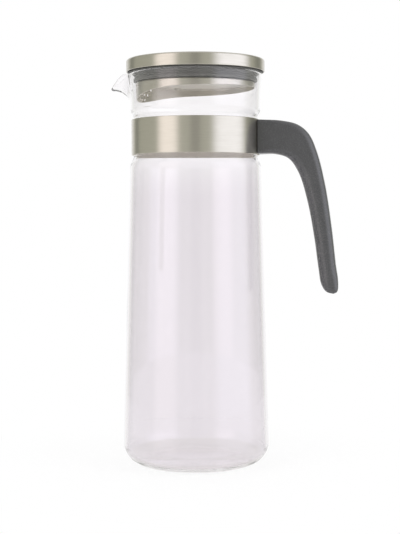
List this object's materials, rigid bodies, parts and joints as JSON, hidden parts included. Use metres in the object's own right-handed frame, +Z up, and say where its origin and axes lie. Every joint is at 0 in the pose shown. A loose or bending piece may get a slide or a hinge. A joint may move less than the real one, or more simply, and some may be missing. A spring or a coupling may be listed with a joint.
{
  "type": "lidded glass jug",
  "caption": "Tapered clear glass jug with a dipped pouring lip, a steel collar band that carries an open-ended handle, and a lift-off steel lid with a silicone seal and slanted strainer.",
  "frame": {"origin": "centre of the jug's flat base, on the surface it stands on", "axes": "+Z up along the jug's axis, +X towards the handle, -X towards the spout"},
  "size_m": [0.157, 0.1, 0.2755],
  "materials": {
    "clear_glass": "clear polished borosilicate",
    "liner_silicone": "matt",
    "band_steel": "brushed round the band",
    "handle_plastic": "satin",
    "fastener_steel": "plain",
    "lid_steel": "brushed round the lid",
    "lid_plastic": "matt",
    "seal_silicone": "matt"
  },
  "bodies": {
    "jug": {"glass_jug": "clear_glass", "band_liner": "liner_silicone", "collar_band": "band_steel", "handle": "handle_plastic", "clamp_plate": "fastener_steel", "clamp_washer": "fastener_steel", "clamp_screw": "fastener_steel", "screw_cover": "handle_plastic"},
    "seal": {"lid_seal": "seal_silicone"},
    "lid": {"lid_cap": "lid_steel", "lid_core": "lid_plastic", "strainer": "lid_steel", "lid_screws": "fastener_steel"}
  },
  "joints": [
    {"name": "lid_lift", "type": "slide", "parent": "jug", "child": "seal", "axis": [0, 0, 1], "range_m": [0, 0.06]},
    {"name": "lid_turn", "type": "hinge", "parent": "seal", "child": "lid", "pos_m": [0, 0, 0.266], "axis": [0, 0, 1], "continuous": true}
  ]
}
